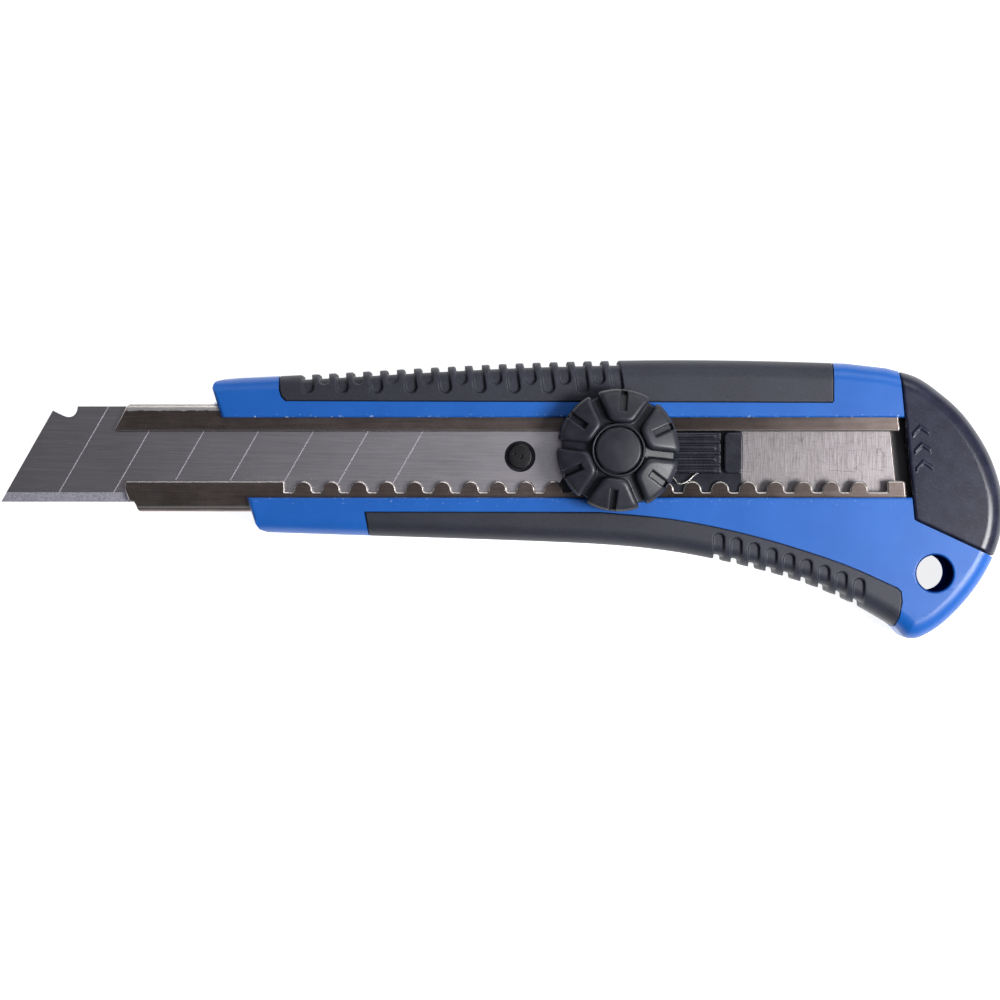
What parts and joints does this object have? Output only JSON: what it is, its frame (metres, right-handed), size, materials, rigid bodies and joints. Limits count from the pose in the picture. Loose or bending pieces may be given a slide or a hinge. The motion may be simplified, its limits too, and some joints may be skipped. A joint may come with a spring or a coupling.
{
  "type": "snap-off utility knife",
  "caption": "Snap-off utility knife: slotted steel rail in a two-colour handle, blade on a notched slider locked by a petal wheel, sliding end cap.",
  "frame": {"origin": "middle of the bounding box, on the table that the knife lies on with its back face", "axes": "+X from the blade's tip to the end cap, +Y from the cutting edge to the spine, +Z out of the front face"},
  "size_m": [0.1838, 0.0512, 0.0212],
  "materials": {
    "blue_plastic": "satin moulded ABS",
    "soft_grip": "matt soft-touch elastomer",
    "black_plastic": "semi-gloss moulded plastic",
    "rail_steel": "brushed across its width, scratched",
    "blade_steel": "fine ground",
    "spring_steel": "bright rolled",
    "blackened_steel": "black oxide",
    "brass": "turned"
  },
  "bodies": {
    "handle": {"handle_body": "blue_plastic", "upper_grip": "soft_grip", "lower_grip": "soft_grip", "blade_rail": "rail_steel"},
    "slider": {"blade_carrier": "black_plastic", "blade_pin": "blackened_steel", "blade": "blade_steel", "detent_spring": "spring_steel", "lock_stud": "spring_steel", "stop_ring": "spring_steel"},
    "clamp": {"clamp_plate": "spring_steel"},
    "wheel": {"lock_wheel": "black_plastic", "wheel_nut": "brass", "wheel_cap": "black_plastic"},
    "cap": {"end_cap": "black_plastic"}
  },
  "joints": [
    {"name": "blade_slide", "type": "slide", "parent": "handle", "child": "slider", "axis": [-1, 0, 0], "range_m": [-0.02542, 0.07119], "deforming": ["detent_spring"]},
    {"name": "clamp_lift", "type": "slide", "parent": "slider", "child": "clamp", "axis": [0, 0, 1], "range_m": [0, 0.00081]},
    {"name": "wheel_turn", "type": "hinge", "parent": "clamp", "child": "wheel", "pos_m": [0.021, 0.0089, 0.0146], "axis": [0, 0, 1], "range_deg": [0, 360]},
    {"name": "cap_slide", "type": "slide", "parent": "handle", "child": "cap", "axis": [-0.0958, 0.9954, 0], "range_m": [0, 0.026]}
  ],
  "couplings": [
    {"joint": "clamp_lift", "follows": "wheel_turn", "m_per_rad": 0.00012732}
  ]
}
